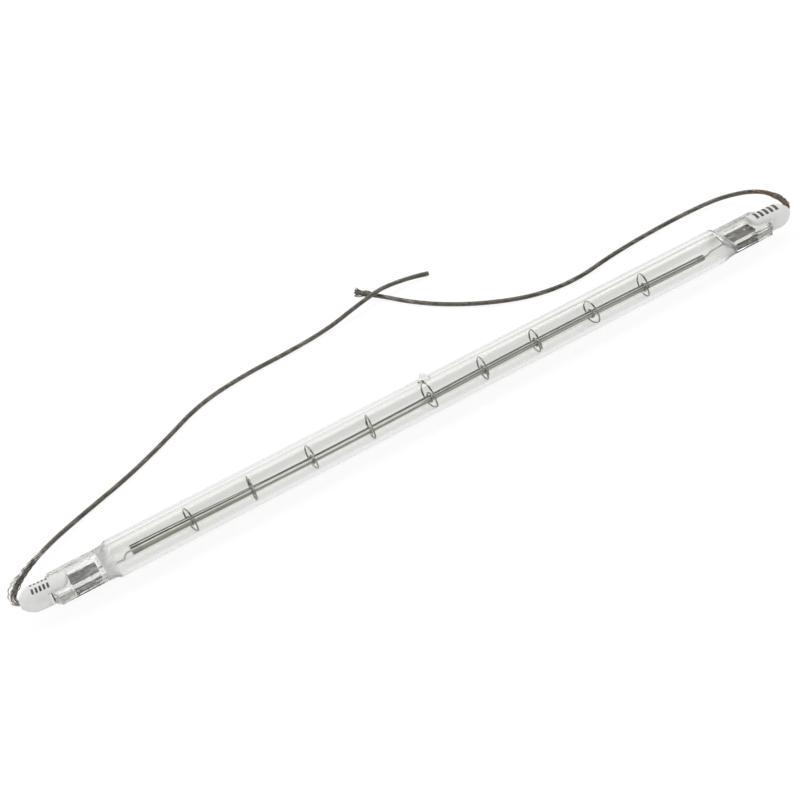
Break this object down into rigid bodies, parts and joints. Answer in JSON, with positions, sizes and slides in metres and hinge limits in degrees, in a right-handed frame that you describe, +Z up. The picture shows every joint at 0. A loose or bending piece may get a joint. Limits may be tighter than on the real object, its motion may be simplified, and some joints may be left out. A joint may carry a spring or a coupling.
{
  "type": "quartz infrared heat lamp",
  "caption": "Clear quartz tube heat lamp with flat pressed seals, a coiled filament on wire supports, white ceramic end caps and bare stranded leads folded back behind it.",
  "frame": {"origin": "on the floor under the middle of the quartz tube", "axes": "+X along the lamp towards its right end, +Y towards the side on which the leads lie, +Z up"},
  "size_m": [0.2238, 0.06, 0.01],
  "materials": {
    "clear_quartz": "clear fire-polished quartz",
    "tungsten_coil": "bare drawn wire, close wound",
    "support_wire": "bare drawn wire",
    "seal_foil": "thin rolled foil seen through quartz",
    "stiff_wire": "bare drawn wire",
    "white_ceramic": "smooth unglazed pressed ceramic",
    "cement": "matt fired cement",
    "lead_nickel": "bare stranded wire, heat darkened"
  },
  "bodies": {
    "root": {"quartz_envelope": "clear_quartz", "filament_coil": "tungsten_coil", "filament_support_1": "support_wire", "filament_support_2": "support_wire", "filament_support_3": "support_wire", "filament_support_4": "support_wire", "filament_support_5": "support_wire", "filament_support_6": "support_wire", "filament_support_7": "support_wire", "filament_support_8": "support_wire", "filament_support_9": "support_wire", "seal_foil_left": "seal_foil", "inner_lead_left": "stiff_wire", "outer_lead_left": "stiff_wire", "end_cap_left": "white_ceramic", "cap_cement_left": "cement", "splice_sleeve_left": "lead_nickel", "flexible_lead_left": "lead_nickel", "seal_foil_right": "seal_foil", "inner_lead_right": "stiff_wire", "outer_lead_right": "stiff_wire", "end_cap_right": "white_ceramic", "cap_cement_right": "cement", "splice_sleeve_right": "lead_nickel", "flexible_lead_right": "lead_nickel"}
  },
  "joints": []
}
